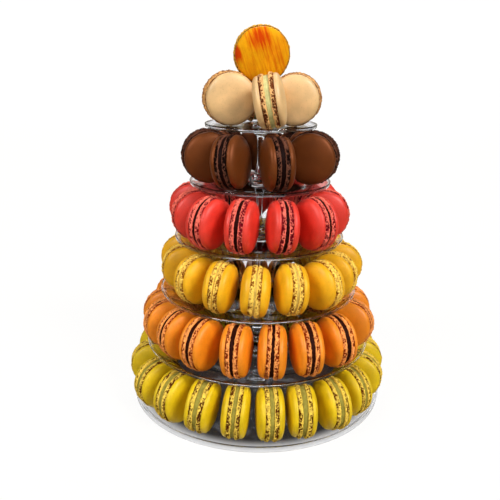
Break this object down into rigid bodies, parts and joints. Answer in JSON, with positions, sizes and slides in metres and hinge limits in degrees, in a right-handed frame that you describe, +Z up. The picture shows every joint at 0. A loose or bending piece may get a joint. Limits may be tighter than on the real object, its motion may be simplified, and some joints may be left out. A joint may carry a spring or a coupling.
{
  "type": "macaron tower on a tiered stand",
  "caption": "Tower of macarons standing on edge round the trays of a clear tiered stand, one colour to a tray, with a single macaron on top.",
  "frame": {"origin": "centre of the base tray's flat underside, on the table", "axes": "+Z up the stand's column, -Y the side that faces the viewer, +X to the viewer's right"},
  "size_m": [0.2693, 0.2716, 0.3713],
  "materials": {
    "green_shell": "smooth baked almond shell, yellow-green, faint satin sheen",
    "orange_shell": "smooth baked almond shell, orange",
    "yellow_shell": "smooth baked almond shell, warm yellow",
    "red_shell": "smooth baked almond shell, red",
    "brown_shell": "smooth baked almond shell, chocolate brown",
    "cream_shell": "smooth baked almond shell, pale cream",
    "amber_shell": "smooth baked almond shell, amber with brushed strokes of red-orange",
    "green_filling": "smooth soft filling, khaki green",
    "dark_filling": "smooth soft filling, very dark chocolate",
    "yellow_filling": "smooth soft filling, pale yellow cream",
    "cream_filling": "smooth soft filling, pale greenish cream",
    "clear_plastic": "clear moulded plastic, polished"
  },
  "bodies": {
    "root": {"macaron_green_01": "green_shell", "macaron_green_02": "green_shell", "macaron_green_03": "green_shell", "macaron_green_04": "green_shell", "macaron_green_05": "green_shell", "macaron_green_06": "green_shell", "macaron_green_07": "green_shell", "macaron_green_08": "green_shell", "macaron_green_09": "green_shell", "macaron_green_10": "green_shell", "macaron_green_back": "green_shell", "macaron_orange_01": "orange_shell", "macaron_orange_02": "orange_shell", "macaron_orange_03": "orange_shell", "macaron_orange_04": "orange_shell", "macaron_orange_05": "orange_shell", "macaron_orange_06": "orange_shell", "macaron_orange_07": "orange_shell", "macaron_orange_08": "orange_shell", "macaron_orange_09": "orange_shell", "macaron_orange_back": "orange_shell", "macaron_yellow_01": "yellow_shell", "macaron_yellow_02": "yellow_shell", "macaron_yellow_03": "yellow_shell", "macaron_yellow_04": "yellow_shell", "macaron_yellow_05": "yellow_shell", "macaron_yellow_06": "yellow_shell", "macaron_yellow_07": "yellow_shell", "macaron_yellow_08": "yellow_shell", "macaron_yellow_back": "yellow_shell", "macaron_red_01": "red_shell", "macaron_red_02": "red_shell", "macaron_red_03": "red_shell", "macaron_red_04": "red_shell", "macaron_red_05": "red_shell", "macaron_red_06": "red_shell", "macaron_red_07": "red_shell", "macaron_red_08": "red_shell", "macaron_red_09": "red_shell", "macaron_red_10": "red_shell", "macaron_red_11": "red_shell", "macaron_brown_01": "brown_shell", "macaron_brown_02": "brown_shell", "macaron_brown_03": "brown_shell", "macaron_brown_04": "brown_shell", "macaron_brown_05": "brown_shell", "macaron_brown_06": "brown_shell", "macaron_brown_07": "brown_shell", "macaron_cream_01": "cream_shell", "macaron_cream_02": "cream_shell", "macaron_cream_03": "cream_shell", "macaron_cream_04": "cream_shell", "macaron_amber_top": "amber_shell", "stand_tray_1": "clear_plastic", "stand_tray_2": "clear_plastic", "stand_tray_3": "clear_plastic", "stand_tray_4": "clear_plastic", "stand_tray_5": "clear_plastic", "stand_tray_6": "clear_plastic"}
  },
  "joints": []
}
